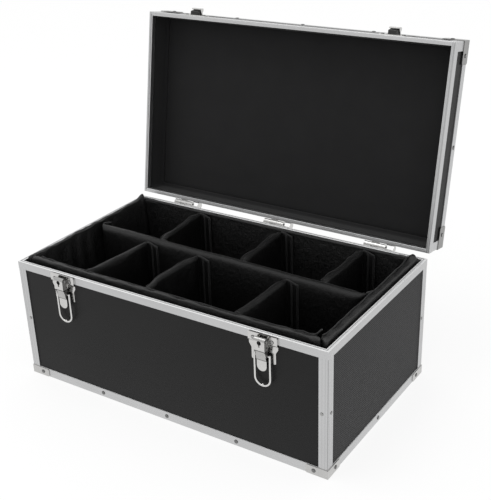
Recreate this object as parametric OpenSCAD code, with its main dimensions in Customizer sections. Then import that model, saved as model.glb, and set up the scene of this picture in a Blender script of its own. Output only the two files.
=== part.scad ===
// Carrying case with a hinged lid, two draw latches and a padded insert of eight
// compartments. Millimetres. X runs to the right, Y to the back and Z up. The origin
// is the middle of the footprint, on the floor. The lid is drawn in its closed place
// and turned open about the hinge pins by lid_open.

/* [Case] */
// Width over the outer faces of the side panels
case_w = 520; // [460:1:600]
// Depth over the outer faces of the front and back panels
case_d = 296; // [260:1:340]
// Height of the base, from the floor to the top of its rim
base_h = 192.6; // [160:0.1:240]
// Height of the closed lid above the base rim
lid_h = 50.1; // [46:0.1:80]
// Thickness of the board panels
panel_t = 3.6; // [3:0.1:5]
// Angle at which the lid stands open on its stops
lid_open = 99.9; // [85:0.1:105]
// Gap between the two rims when the lid is shut
rim_gap = 0.3; // [0.2:0.05:0.6]

/* [Aluminium profiles] */
// Wall of the profiles
metal_t = 1.1; // [0.9:0.1:1.6]
// Leg of the corner angles, measured outside
angle_leg = 13.6; // [10:0.1:18]
// Outer leg of the rim profiles
rim_leg = 11.5; // [9:0.1:15]
// Inner leg of the rim profiles
rim_inner_leg = 9; // [6:0.1:12]
// Thickness of the web between the two legs of a rim
rim_web = 2.2; // [1.8:0.1:3]
// Width of the groove along the base rim, at its floor
groove_w = 1.6; // [1.4:0.1:2.2]
// Depth of that groove
groove_d = 0.9; // [0.7:0.1:1.3]
// Play of the lid's tongue in the groove, on each side
tongue_play = 0.35; // [0.25:0.05:0.5]
// Play of a panel in the rim profile
panel_play = 0.3; // [0.1:0.05:0.6]
// Radius of the long outer edges
edge_r = 0.7; // [0.3:0.1:1]

/* [Corner brackets] */
// Sheet of the corner brackets
bracket_t = 1; // [0.8:0.1:1.5]
// Length of a bracket's tab along the panel, from the panel's corner
bracket_tab = 31.5; // [24:0.5:45]
// Height of the brackets on the base
base_bracket_h = 13.2; // [10:0.1:20]
// Height of the brackets on the lid
lid_bracket_h = 18.6; // [14:0.1:24]

/* [Rivets] */
// Radius of a rivet head
rivet_r = 3; // [2:0.1:4]
// Height of a rivet head
rivet_h = 1.1; // [0.6:0.1:2]
// Distance of the outer rivets from the panel's corner
rivet_corner = 19.2; // [14:0.1:26]
// Distance of the inner rivets from the middle of the front and the back
rivet_inner = 119; // [90:1:150]
// Height of the rivets in the upright angles
rivet_mid_z = 99; // [80:1:120]

/* [Latches] */
// Distance of a latch from the middle between the two
latch_x = 170; // [120:0.5:200]
// Shift of both latches from the middle of the case
latch_shift = -2; // [-6:0.5:6]
// Shift of the strikes from the latches below them
strike_shift = -1.8; // [-2:0.1:2]
// Width of a latch plate
plate_w = 43.5; // [38:0.5:50]
// Height of a latch plate
plate_h = 41.5; // [38:0.5:46]
// Sheet of the latch plate and of the strike
plate_t = 1.2; // [1:0.1:1.6]
// Height of a latch plate's raised part over the rim's leg
plate_raise = 1.4; // [1:0.1:1.6]
// Width of the latch lever
lever_w = 16.2; // [15.6:0.1:18]
// Sheet of the lever
lever_t = 1.2; // [1:0.1:1.4]
// Distance of the lever's front from the panel
lever_out = 12; // [11.6:0.1:13]
// Distance of the lever's pivot from the panel
pivot_out = 8; // [7.6:0.1:8.2]
// Depth of the lever's pivot below the rim
pivot_drop = 7; // [6.6:0.1:7.4]
// Radius of the lever's pivot pins
pivot_r = 1.2; // [1:0.05:1.5]
// Angle to which the lever lifts
lever_lift = 95; // [60:1:95]
// Depth of the keyhole below the rim
key_drop = 9.4; // [9.2:0.1:10]
// Radius of the keyhole's round part
key_r = 3.1; // [2.5:0.1:3.2]

/* [Wire bails] */
// Diameter of the wire
wire_d = 3; // [2.5:0.1:3.4]
// Distance between the two legs, middle to middle
bail_w = 23; // [22.5:0.1:25]
// Length from the bail's pivot to the middle of its bottom wire
bail_len = 46.4; // [44:0.1:48]
// Distance of the bail's pivot from the panel
bail_out = 5; // [4.8:0.1:5.5]
// Depth of the bail's pivot below the rim
bail_drop = 29.5; // [28:0.1:31]
// Radial play of the turning fits
turn_play = 0.06; // [0.03:0.01:0.09]

/* [Hinges] */
// Distance of the outer hinges from the middle
hinge_x = 176; // [140:1:210]
// Distance of the hinge pins behind the back panel
hinge_out = 6; // [5.8:0.1:6.5]
// Height of the hinge pins above the base rim
hinge_rise = 0.8; // [0.5:0.1:1]
// Length of the knuckles of one hinge together
knuckle_len = 35; // [30:1:45]
// Outer radius of the knuckles
knuckle_r = 4; // [3.6:0.1:4.2]
// Radius of the hinge pins
hinge_pin_r = 1.6; // [1.2:0.1:2]
// Length of a leaf beyond the knuckles, up to its stop
stop_reach = 12; // [9:0.5:18]
// Sheet of the leaves
leaf_t = 1.2; // [1:0.1:1.4]
// Height of a leaf
leaf_h = 27; // [24:0.5:32]
// Gap between neighbouring knuckles
knuckle_gap = 0.2; // [0.1:0.05:0.4]

/* [Lid handle] */
// Length of the handle between its pivots
handle_len = 132; // [110:1:160]
// Reach of the handle from its pivots to the middle of the grip
handle_reach = 34; // [30:0.5:42]
// Radius of the grip
grip_r = 7; // [6:0.1:8]
// Height of the handle's pivots above the lid
handle_rise = 8.6; // [8:0.1:12]
// Radius of the handle's pivots
handle_pin_r = 2.5; // [2:0.1:3]

/* [Padded insert] */
// Distance of the side pads from the outer faces of the panels
side_inset = 7.5; // [6:0.1:12]
// Thickness of the side pads
side_t = 14.4; // [10:0.1:18]
// Distance of the front pad from the outer face of the panel
front_inset = 11.5; // [6:0.1:14]
// Thickness of the front pad
front_t = 11.5; // [8:0.1:16]
// Distance of the back pad from the outer face of the panel
back_inset = 5.5; // [5:0.1:12]
// Thickness of the back pad
back_t = 7.5; // [5:0.1:16]
// Height of the side and front pads' crest above the base rim
pad_crest = 4.8; // [2:0.1:8]
// Height of the back pad's crest above the base rim
back_crest = 0.8; // [0:0.1:6]
// Lift of the pads' crest at the corners
pad_lift = 2.6; // [0:0.1:4]
// Thickness of the floor pad
floor_pad_t = 8; // [4:0.5:14]
// Thickness of the cross dividers
divider_t = 10; // [6:0.1:12]
// Height of the cross dividers' tops above the base rim
divider_crest = 1.4; // [-6:0.1:3]
// Thickness of the long divider
long_t = 14; // [8:0.5:16]
// Height of the long divider's top above the base rim
long_crest = 4.6; // [0:0.1:6]
// Distance of the long divider behind the middle of the case, at its left end
long_left = 13; // [0:0.5:20]
// Distance of the long divider behind the middle of the case, at its right end
long_right = 2; // [-10:0.5:15]
// Length of the flaps at the dividers' ends
tab_len = 20; // [12:0.5:26]
// Length of the flap at the front of the middle divider
tab_short = 16; // [10:0.5:22]
// Slope of the flaps' top edges down from the divider
tab_fall = 7; // [2:0.5:10]
// Thickness of the flaps
tab_t = 3; // [2:0.1:4]
// Gap between soft pieces
soft_gap = 0.3; // [0.2:0.05:0.6]
// Thickness of the lid's padded lining
lining_t = 4; // [3:0.1:8]

/* [Hidden] */
$fn = 40;

half_w = case_w / 2;
half_d = case_d / 2;
rim_w = 2 * metal_t + panel_t + panel_play;
lid_top = base_h + lid_h;
lid_panel_top = lid_top - metal_t;
hinge_y = half_d + hinge_out;
hinge_z = base_h + hinge_rise;
floor_top = metal_t + panel_t;
pad_bottom = floor_top + floor_pad_t + soft_gap;
eps = 0.01;

aluminium = [0.78, 0.79, 0.80];
steel = [0.72, 0.73, 0.75];
laminate = [0.13, 0.13, 0.14];
lining_black = [0.07, 0.07, 0.075];
handle_black = [0.06, 0.06, 0.06];

// Points of an arc of radius r about [cx, cy], from angle a0 to a1 in n steps.
function arc(cx, cy, r, a0, a1, n = 4) =
    [for (i = [0:n]) let (a = a0 + (a1 - a0) * i / n) [cx + r * cos(a), cy + r * sin(a)]];

// Moves a lid piece from its closed place to the open one.
module lid_pose() {
    translate([0, hinge_y, hinge_z]) rotate([-lid_open, 0, 0])
        translate([0, -hinge_y, -hinge_z]) children();
}

// A profile along X with 45 degree mitres: u of the section runs inward, v runs up.
module mitred_rail(length) {
    big = 60;
    difference() {
        rotate([90, 0, 90]) linear_extrude(length, center = true) children();
        for (s = [0, 1]) mirror([s, 0, 0]) translate([length / 2, 0, 0])
            rotate([0, 0, 45]) translate([0, -big, -big]) cube(2 * big);
    }
}

// Puts a rail on one of the four sides, counted from the front to the right.
module on_side(k) {
    rotate([0, 0, 90 * k]) translate([0, -(k % 2 == 0 ? half_d : half_w) - metal_t, 0])
        children();
}
function rail_length(k) = 2 * ((k % 2 == 0 ? half_w : half_d) + metal_t);

// ---- Board panels ----

base_panel_top = base_h - rim_web;

module wall_panel(length, z0, z1) {
    translate([-length / 2, metal_t, z0]) cube([length, panel_t, z1 - z0]);
}
module base_panel(k) {
    length = k % 2 == 0 ? case_w : case_d - 2 * panel_t;
    color(laminate) on_side(k) wall_panel(length, metal_t, base_panel_top);
}
module lid_panel(k) {
    length = k % 2 == 0 ? case_w : case_d - 2 * panel_t;
    color(laminate) lid_pose() on_side(k)
        wall_panel(length, base_h + rim_gap + rim_web, lid_panel_top);
}
module front_panel() { base_panel(0); }
module right_panel() { base_panel(1); }
module back_panel() { base_panel(2); }
module left_panel() { base_panel(3); }
// Bottom board, rebated round its edge so that its field is flush with the angles.
module bottom_panel() {
    field = angle_leg - metal_t + 0.4;
    color(laminate) {
        translate([-half_w + panel_t, -half_d + panel_t, metal_t])
            cube([case_w - 2 * panel_t, case_d - 2 * panel_t, panel_t]);
        translate([-half_w + field, -half_d + field, 0])
            cube([case_w - 2 * field, case_d - 2 * field, metal_t + eps]);
    }
}
module lid_front_panel() { lid_panel(0); }
module lid_right_panel() { lid_panel(1); }
module lid_back_panel() { lid_panel(2); }
module lid_left_panel() { lid_panel(3); }
module lid_top_panel() {
    color(laminate) lid_pose()
        translate([-half_w + panel_t, -half_d + panel_t, lid_panel_top - panel_t])
            cube([case_w - 2 * panel_t, case_d - 2 * panel_t, panel_t]);
}

// ---- Rim profiles ----

// Section of the base rim: top at v = 0, with the groove that takes the lid's tongue.
module base_rim_section() {
    mid = rim_w / 2;
    slope = 0.3;
    polygon(concat(
        arc(edge_r, -edge_r, edge_r, 180, 90),
        [[mid - groove_w / 2 - slope, 0], [mid - groove_w / 2, -groove_d],
         [mid + groove_w / 2, -groove_d], [mid + groove_w / 2 + slope, 0]],
        arc(rim_w - edge_r, -edge_r, edge_r, 90, 0),
        [[rim_w, -rim_inner_leg], [rim_w - metal_t, -rim_inner_leg],
         [rim_w - metal_t, -rim_web], [metal_t, -rim_web],
         [metal_t, -rim_leg], [0, -rim_leg]]));
}

// Section of the lid rim: its face at v = 0 looks down, and the tongue stands out of it.
module lid_rim_section() {
    mid = rim_w / 2;
    tongue = groove_w / 2 - tongue_play + 0.15;
    tongue_h = groove_d - rim_gap + 0.15;
    polygon(concat(
        arc(edge_r, edge_r, edge_r, 180, 270),
        [[mid - tongue - 0.1, 0], [mid - tongue, -tongue_h],
         [mid + tongue, -tongue_h], [mid + tongue + 0.1, 0]],
        arc(rim_w - edge_r, edge_r, edge_r, 270, 360),
        [[rim_w, rim_inner_leg], [rim_w - metal_t, rim_inner_leg],
         [rim_w - metal_t, rim_web], [metal_t, rim_web],
         [metal_t, rim_leg], [0, rim_leg]]));
}
module base_rim(k) {
    color(aluminium) on_side(k) translate([0, 0, base_h])
        mitred_rail(rail_length(k)) base_rim_section();
}
module base_rim_front() { base_rim(0); }
module base_rim_right() { base_rim(1); }
module base_rim_back() { base_rim(2); }
module base_rim_left() { base_rim(3); }
module lid_rim() {
    color(aluminium) lid_pose() for (k = [0:3]) on_side(k)
        translate([0, 0, base_h + rim_gap]) mitred_rail(rail_length(k)) lid_rim_section();
}

// ---- Corner angles ----

// L section with its outer corner rounded, legs along +u and +v.
module angle_section() {
    polygon(concat(
        arc(edge_r, edge_r, edge_r, 180, 270),
        [[angle_leg, 0], [angle_leg, metal_t], [metal_t, metal_t],
         [metal_t, angle_leg], [0, angle_leg]]));
}
module base_angle(k) {
    color(aluminium) on_side(k) mitred_rail(rail_length(k)) angle_section();
}
module base_angle_front() { base_angle(0); }
module base_angle_right() { base_angle(1); }
module base_angle_back() { base_angle(2); }
module base_angle_left() { base_angle(3); }

module lid_top_angles() {
    color(aluminium) lid_pose() for (k = [0:3]) on_side(k) translate([0, 0, lid_top])
        mitred_rail(rail_length(k)) mirror([0, 1]) angle_section();
}

// The four upright angles between heights z0 and z1.
module upright_angles(z0, z1) {
    for (sx = [0, 1], sy = [0, 1]) mirror([sx, 0, 0]) mirror([0, sy, 0])
        translate([-half_w - metal_t, -half_d - metal_t, z0])
            linear_extrude(z1 - z0) angle_section();
}
module base_upright_angles() {
    color(aluminium) upright_angles(angle_leg, base_h - rim_leg);
}
module lid_corner_angles() {
    color(aluminium) lid_pose() upright_angles(base_h + rim_gap + rim_leg, lid_top - angle_leg);
}

// ---- Corner brackets ----

bracket_face = metal_t + bracket_t;

// Outline of one tab, from the case's corner to its chamfered end.
module bracket_tab_outline(h) {
    chamfer = 2;
    length = bracket_tab + bracket_face;
    polygon([[0, 0], [length - chamfer, 0], [length, chamfer], [length, h - chamfer],
             [length - chamfer, h], [0, h]]);
}
// Two tabs around a corner, standing on z = 0, with the corner edge rounded.
module bracket(h) {
    intersection() {
        union() {
            rotate([90, 0, 0]) translate([0, 0, -bracket_t]) linear_extrude(bracket_t)
                bracket_tab_outline(h);
            mirror([1, -1, 0]) rotate([90, 0, 0]) translate([0, 0, -bracket_t])
                linear_extrude(bracket_t) bracket_tab_outline(h);
        }
        linear_extrude(h) polygon(concat(arc(edge_r, edge_r, edge_r, 180, 270),
            [[60, 0], [60, 60], [0, 60]]));
    }
}
module brackets(z0, h) {
    for (sx = [0, 1], sy = [0, 1]) mirror([sx, 0, 0]) mirror([0, sy, 0])
        translate([-half_w - bracket_face, -half_d - bracket_face, z0]) bracket(h);
}
module base_brackets() { color(aluminium) brackets(0.2, base_bracket_h); }
module lid_brackets() {
    color(aluminium) lid_pose() brackets(lid_top - 0.2 - lid_bracket_h, lid_bracket_h);
}

// ---- Rivets ----

// Domed head whose flat side lies on y = 0, seen from -Y.
module rivet(r = rivet_r, h = rivet_h) {
    rotate([90, 0, 0]) rotate_extrude()
        polygon(concat([[0, 0], [r, 0], [r, 0.25 * h]],
            [for (a = [20:20:90]) [r * cos(a), 0.25 * h + 0.75 * h * sin(a)]]));
}
// Rivets of one level: in the four bracket corners and along the sides.
module rivet_ring(z_corner, z_side) {
    for (k = [0:3]) rotate([0, 0, 90 * k]) {
        face = k % 2 == 0 ? half_d : half_w;
        reach = k % 2 == 0 ? half_w : half_d;
        for (s = [-1, 1])
            translate([s * (reach - rivet_corner), -face - bracket_face, z_corner]) rivet();
        translate([0, -face - metal_t, z_side]) rivet();
        if (k % 2 == 0) for (s = [-1, 1])
            translate([s * rivet_inner, -face - metal_t, z_side]) rivet();
    }
}
hinge_rivet_z = leaf_h - 6;
hinge_rivet_x = knuckle_len / 2 - 6;
module hinge_rivets(z, out) {
    for (x = [-hinge_x, 0, hinge_x], s = [-1, 1])
        translate([x + s * hinge_rivet_x, half_d + out, z]) rotate([0, 0, 180]) rivet(2.6, 1);
}
module base_rivets() {
    color(steel) {
        rivet_ring(0.2 + base_bracket_h / 2, angle_leg / 2);
        for (k = [0:3]) rotate([0, 0, 90 * k]) for (s = [-1, 1])
            translate([s * ((k % 2 == 0 ? half_w : half_d) - 8),
                       -(k % 2 == 0 ? half_d : half_w) - metal_t, rivet_mid_z]) rivet(2.4, 0.9);
        for (s = [-1, 1], t = [-1, 1])
            translate([s * latch_x + latch_shift + t * plate_rivet_x, -half_d - plate_out,
                       base_h - plate_rivet_drop]) rivet(3, 0.8);
        hinge_rivets(base_h - hinge_rivet_z, leaf_t);
    }
}
strike_rivet_x = 16.2;
strike_rivet_z = 6;
module lid_rivets() {
    color(steel) lid_pose() {
        rivet_ring(lid_top - 0.2 - lid_bracket_h / 2, lid_top - angle_leg / 2);
        for (s = [-1, 1], t = [-1, 1])
            translate([s * latch_x + latch_shift + strike_shift + t * strike_rivet_x,
                       -half_d - metal_t - plate_t, base_h + rim_gap + strike_rivet_z])
                rivet(2.8, 1.2);
        hinge_rivets(base_h + hinge_rivet_z, leaf_t);
        for (s = [-1, 1], y = [-8, 8])
            translate([s * (mount_x + 18), y, lid_panel_top + mount_t])
                rotate([-90, 0, 0]) rivet(2.8, 1);
    }
}

// ---- Latches ----
// Drawn with x from the latch's middle, y outward from the panel and z from the rim.

plate_rivet_x = 13.9;
plate_rivet_drop = 8.4;
joggle = 1.3;
// Distance of a latch plate's raised face from the panel
plate_out = metal_t + plate_raise + plate_t;

module at_latch(side) {
    translate([side * latch_x + latch_shift, -half_d, base_h]) mirror([0, 1, 0]) children();
}
// Sheet that lies stand away from the panel over a rim's leg and steps down onto the
// panel, as a section in y and z. It runs from z = top to z = -bottom, below a rim
// whose leg ends at z = -leg.
module joggled_sheet(top, bottom, leg, t, stand = metal_t) {
    k = 0.35 * stand / metal_t;
    step = joggle * stand / metal_t;
    polygon([[stand, top], [stand + t, top], [stand + t, -leg - k],
             [t, -leg - step - k], [t, -bottom], [0, -bottom],
             [0, -leg - step], [stand, -leg]]);
}
module along_x(width) {
    rotate([90, 0, 90]) linear_extrude(width, center = true) children();
}
module along_y(depth) {
    translate([0, depth, 0]) rotate([90, 0, 0]) linear_extrude(depth) children();
}

leg_half = 18.2;
arch_half = 13.4;
plate_top = 0.6;
// Front view of the latch plate: shoulders, two legs and the arch between them.
module latch_plate_outline() {
    shoulder = 19;
    taper = 25;
    arch = 26;
    h = plate_w / 2;
    polygon(concat(
        [[h, -shoulder], [leg_half, -taper]],
        arc(leg_half - 2, -plate_h + 2, 2, 0, -90),
        arc(arch_half + 1, -plate_h + 1, 1, 270, 180),
        arc(arch_half - 3, -arch - 3, 3, 0, 90),
        arc(3 - arch_half, -arch - 3, 3, 90, 180),
        arc(-arch_half - 1, -plate_h + 1, 1, 0, -90),
        arc(2 - leg_half, -plate_h + 2, 2, 270, 180),
        [[-leg_half, -taper], [-h, -shoulder]],
        arc(2.5 - h, -plate_top - 2.5, 2.5, 180, 90),
        arc(h - 2.5, -plate_top - 2.5, 2.5, 90, 0)));
}
ear_gap = 0.25;
ear_x = lever_w / 2 - lever_t - ear_gap;
// Ear that carries the lever's pivot: a lug that slants up out of the plate.
module latch_ear() {
    ear_r = 2.4;
    root = plate_t - 0.2;
    boss = [pivot_out, -pivot_drop];
    rotate([90, 0, 90]) linear_extrude(plate_t) difference() {
        union() {
            translate(boss) circle(ear_r);
            polygon([boss + ear_r * [cos(200), sin(200)], boss + ear_r * [cos(300), sin(300)],
                     [root, -22], [root, -16.4]]);
        }
        translate(boss) circle(pivot_r);
    }
}
module latch_plate(side) {
    small_hole = [11.3, -20.5];
    flange = 0.9;
    color(steel) at_latch(side) {
        difference() {
            intersection() {
                along_x(plate_w) joggled_sheet(-plate_top, plate_h, rim_leg, plate_t,
                    metal_t + plate_raise);
                along_y(10) latch_plate_outline();
            }
            for (s = [-1, 1]) translate([s * small_hole[0], -1, small_hole[1]])
                rotate([-90, 0, 0]) cylinder(r = 1.1, h = 8);
        }
        for (s = [0, 1]) mirror([s, 0, 0]) {
            translate([ear_x - plate_t, 0, 0]) latch_ear();
            // flange that turns back to the rim along the plate's side
            translate([plate_w / 2 - flange, metal_t, -rim_leg])
                cube([flange, plate_raise + plate_t / 2, rim_leg - plate_top - 2.5]);
        }
    }
}

tab_out = 6.8;
tab_end = 53;
tab_half = 7.3;
crease_a = 20.4;
crease_b = 36;
slope_step = 1.2;
// Section of the lever's front sheet: it wraps over the pivot, runs down as a flat
// face, steps in to a slope between the walls and ends in a thumb tab.
module lever_sheet_section() {
    t = lever_t;
    r = lever_out - pivot_out;
    foot = tab_out + 0.3;
    polygon(concat(
        arc(pivot_out, -pivot_drop, r, 104, 0, 9),
        [[lever_out, -crease_a], [lever_out - slope_step, -crease_a - 0.7],
         [foot + 0.5, -crease_b + 0.2], [foot - 0.6, -crease_b - 0.3],
         [foot - 0.6, -crease_b - 6], [tab_out, -tab_end], [tab_out - t, -tab_end],
         [foot - 0.6 - t, -crease_b - 6], [foot - 0.6 - t, -crease_b - 0.3],
         [lever_out - slope_step - t, -crease_a - 1], [lever_out - t, -crease_a - 0.3]],
        arc(pivot_out, -pivot_drop, r - t, 0, 104, 9)));
}
// Front view of the lever: the face, the narrower slope and the round thumb end.
module lever_outline() {
    r = lever_w / 2;
    z = crease_a + 0.4;
    polygon(concat([[r, 0], [-r, 0], [-r, -z], [-tab_half, -z]],
        arc(0, -tab_end + tab_half, tab_half, 180, 360, 16), [[tab_half, -z], [r, -z]]));
}
// Side wall of the lever: quarter-round over the pivot, ear round the bail's pivot.
module lever_wall_section() {
    back = 3.5;
    top_r = lever_out - pivot_out - 0.1;
    ear_r = 3.3;
    difference() {
        union() {
            polygon(concat(
                arc(pivot_out, -pivot_drop, top_r, 178, 0, 12),
                [[lever_out - 0.1, -crease_a], [bail_out + 3.9, -bail_drop - 0.6],
                 [back, -bail_drop + 2], [back, -rim_leg - 5],
                 [pivot_out - top_r, -rim_leg - 0.5]]));
            translate([bail_out, -bail_drop]) circle(ear_r);
        }
        translate([pivot_out, -pivot_drop]) circle(pivot_r + turn_play);
        translate([bail_out, -bail_drop]) circle(wire_d / 2 + turn_play);
    }
}
lock_tube_r = 4.9;
lock_wall = 0.8;
plug_r = lock_tube_r - lock_wall - turn_play;
tube_in = 5.9;
tube_out = lever_out - lever_t + 0.1;
module keyhole() {
    nub = 1.15;
    drop = key_r + 2.9;
    translate([0, 30, -key_drop]) rotate([90, 0, 0]) cylinder(r = key_r, h = 30 - lever_out + 2);
    translate([-nub, lever_out - 2, -key_drop - drop]) cube([2 * nub, 10, drop]);
}
module latch_lever(side) {
    color(steel) at_latch(side) difference() {
        union() {
            intersection() {
                along_x(lever_w) lever_sheet_section();
                along_y(20) lever_outline();
            }
            for (s = [0, 1]) mirror([s, 0, 0]) translate([lever_w / 2 - lever_t, 0, 0])
                rotate([90, 0, 90]) linear_extrude(lever_t) lever_wall_section();
            // tube behind the face, which holds the lock's plug
            translate([0, tube_out, -key_drop]) rotate([90, 0, 0]) difference() {
                cylinder(r = lock_tube_r, h = tube_out - tube_in);
                translate([0, 0, -1]) cylinder(r = lock_tube_r - lock_wall, h = lever_out);
            }
        }
        keyhole();
    }
}
// Lock plug: a short cylinder with a key slot, and the cam at its back.
module lock_plug(side) {
    slot_w = 1.5;
    front = lever_out - lever_t - 0.65;
    color([0.2, 0.2, 0.21]) at_latch(side) translate([0, front, -key_drop]) difference() {
        union() {
            rotate([90, 0, 0]) cylinder(r = plug_r, h = front - tube_in + 0.3);
            translate([-1.5, -(front - tube_in) - 1.2, -3.4]) cube([3, 1.1, 5.4]);
        }
        translate([-slot_w / 2, -2.2, -3.4]) cube([slot_w, 4, 6.2]);
    }
}
// Wire bail: two legs, a half-round bottom, ends turned in through the lever.
module latch_bail(side) {
    r = wire_d / 2;
    bend = bail_w / 2;
    leg_end = -bail_drop - bail_len + bend;
    color(steel) at_latch(side) translate([0, bail_out, 0]) {
        for (s = [-1, 1]) {
            translate([s * bend, 0, leg_end]) cylinder(r = r, h = -bail_drop - leg_end);
            translate([s * bend, 0, -bail_drop]) sphere(r);
            translate([s * bend, 0, -bail_drop]) rotate([0, -s * 90, 0])
                cylinder(r = r, h = bend - ear_x + 1.2);
        }
        translate([0, 0, leg_end]) rotate([90, 0, 0]) rotate_extrude(angle = -180)
            translate([bend, 0]) circle(r);
        // weld nub inside the bottom of the wire
        translate([0, 0, -bail_drop - bail_len + r + 0.2]) sphere(1.5);
    }
}
// Stub rivets that carry the lever in the plate's ears.
module latch_pins() {
    head = 0.9;
    inner = ear_x - plate_t;
    outer = lever_w / 2 + 0.1;
    color(steel) for (side = [-1, 1]) at_latch(side) for (s = [-1, 1])
        translate([s * inner, pivot_out, -pivot_drop]) rotate([0, s * 90, 0]) {
            translate([0, 0, -0.2]) cylinder(r = pivot_r, h = outer - inner + 0.3);
            translate([0, 0, outer - inner]) cylinder(r = 2, h = head);
            translate([0, 0, -0.3]) cylinder(r = 1.7, h = 0.3);
        }
}
module latch_plate_left() { latch_plate(-1); }
module latch_plate_right() { latch_plate(1); }
module latch_lever_left() { latch_lever(-1); }
module latch_lever_right() { latch_lever(1); }
module latch_bail_left() { latch_bail(-1); }
module latch_bail_right() { latch_bail(1); }
module lock_plug_left() { lock_plug(-1); }
module lock_plug_right() { lock_plug(1); }

// ---- Strikes on the lid ----

strike_w = 42;
strike_h = 24;
seat_z = bail_len - bail_drop - wire_d / 2 - 0.1;
hook_w = 15;
// Section of the hook: a valley that seats the wire, a crest and a rolled lip.
module hook_section() {
    t = plate_t;
    base = metal_t + plate_t;
    out = 12.6;
    polygon(concat(
        [[base - 0.4, seat_z], [bail_out + 1.1, seat_z]],
        [[bail_out + 2.6, seat_z + 0.7], [bail_out + 3.9, seat_z + 1.7]],
        arc(out - 2.2, seat_z - 0.4, 2.2, 80, 0, 4),
        [[out, seat_z - 7.2]],
        arc(out - 1.5, seat_z - 7.2, 1.5, 0, -120, 4),
        [[out - t - 0.7, seat_z - 7.6], [out - t, seat_z - 6.8],
         [out - t, seat_z - 1.4], [bail_out + 3.4, seat_z + 0.2],
         [bail_out + 1.6, seat_z - t], [base - 0.4, seat_z - t]]));
}
// Front view of the strike plate, with the window below the hook.
module strike_outline() {
    h = strike_w / 2;
    z0 = rim_gap + 0.4;
    difference() {
        polygon(concat(
            arc(h - 3, z0 + 3, 3, -90, 0), arc(h - 3, 10, 3, 0, 60),
            arc(13, strike_h - 3, 3, 30, 90), arc(-13, strike_h - 3, 3, 90, 150),
            arc(3 - h, 10, 3, 120, 180), arc(3 - h, z0 + 3, 3, 180, 270)));
        translate([-8.6, 2.4]) square([17.2, 10.4]);
    }
}
module at_strike(side) { lid_pose() at_latch(side) translate([strike_shift, 0, 0]) children(); }
module strike(side) {
    color(steel) at_strike(side) {
        intersection() {
            along_x(strike_w) mirror([0, 1])
                joggled_sheet(0, strike_h, rim_gap + rim_leg, plate_t);
            along_y(10) strike_outline();
        }
        along_x(hook_w) hook_section();
        // cheeks that stiffen the hook
        for (s = [-1, 1]) translate([s * (hook_w / 2 - 0.5), 0, 0]) along_x(1)
            polygon([[metal_t + plate_t - 0.2, seat_z - 0.6], [11, seat_z - 0.6],
                     [11.6, seat_z - 6], [8.5, seat_z - 5], [4, seat_z - 2.4],
                     [metal_t + plate_t - 0.2, seat_z - 2.4]]);
    }
}
module strike_left() { strike(-1); }
module strike_right() { strike(1); }
// Black blocks that fill the hollow under the hooks.
module strike_blocks() {
    block_w = hook_w - 2.6;
    face = metal_t + plate_t;
    color(handle_black) for (side = [-1, 1]) at_strike(side) along_x(block_w)
        polygon(concat([[face, 1.6]], arc(face + 5.2, 2.4, 0.8, -90, 0),
            [[face + 7.4, seat_z - 6.8], [face + 6.4, seat_z - 5.6], [face, seat_z - 3]]));
}

// ---- Hinges ----
// Drawn with x from the hinge's middle, y back from the panel and z from the base rim.

module at_hinge(n) { translate([n * hinge_x, half_d, base_h]) children(); }

knuckle_third = knuckle_len / 3;
leaf_end = knuckle_len / 2 + stop_reach;
// Clear height that a leaf leaves round the other leaf's knuckles.
knuckle_clear = knuckle_r + 0.4;

// Knuckle between x0 and x1, with the web that joins it to the leaf below it.
module knuckle(x0, x1, bore) {
    translate([x0, hinge_out, hinge_rise]) rotate([90, 0, 90]) linear_extrude(x1 - x0)
        difference() {
            union() {
                circle(knuckle_r);
                translate([metal_t - hinge_out, -knuckle_clear])
                    square([leaf_t, knuckle_clear]);
            }
            circle(bore);
        }
}
// Base leaf: joggled plate, the two outer knuckles and the stop at its end.
module hinge_base(n) {
    notch = knuckle_third + 2 * knuckle_gap;
    length = leaf_end + knuckle_len / 2;
    color(steel) at_hinge(n) {
        difference() {
            translate([(leaf_end - knuckle_len / 2) / 2, 0, 0]) along_x(length)
                joggled_sheet(hinge_rise - 0.5, leaf_h, rim_leg, leaf_t);
            translate([-notch / 2, 0, hinge_rise - knuckle_clear]) cube([notch, 10, 10]);
        }
        for (s = [-1, 1]) mirror([s > 0 ? 0 : 1, 0, 0])
            knuckle(knuckle_third / 2 + knuckle_gap, knuckle_len / 2, hinge_pin_r + 0.02);
        // stop: a bent flange whose sloping edge carries the open lid's leaf
        translate([leaf_end - leaf_t, 0, 0]) rotate([90, 0, 90]) linear_extrude(leaf_t)
            hinge_stop_section();
    }
}
lean = lid_open - 90;
stop_face = hinge_out - metal_t - leaf_t;
module hinge_stop_section() {
    reach = 9;
    start = 0.6;
    rise = (stop_face - 0.1) / cos(lean);
    polygon([[metal_t + leaf_t - 0.3, -14], [metal_t + leaf_t - 0.3, hinge_rise - 0.8],
             [hinge_out + start, hinge_rise + rise - start * tan(lean)],
             [hinge_out + reach, hinge_rise + rise - reach * tan(lean)],
             [hinge_out + reach, hinge_rise - 3.5], [metal_t + leaf_t + 1.5, -14]]);
}
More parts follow.
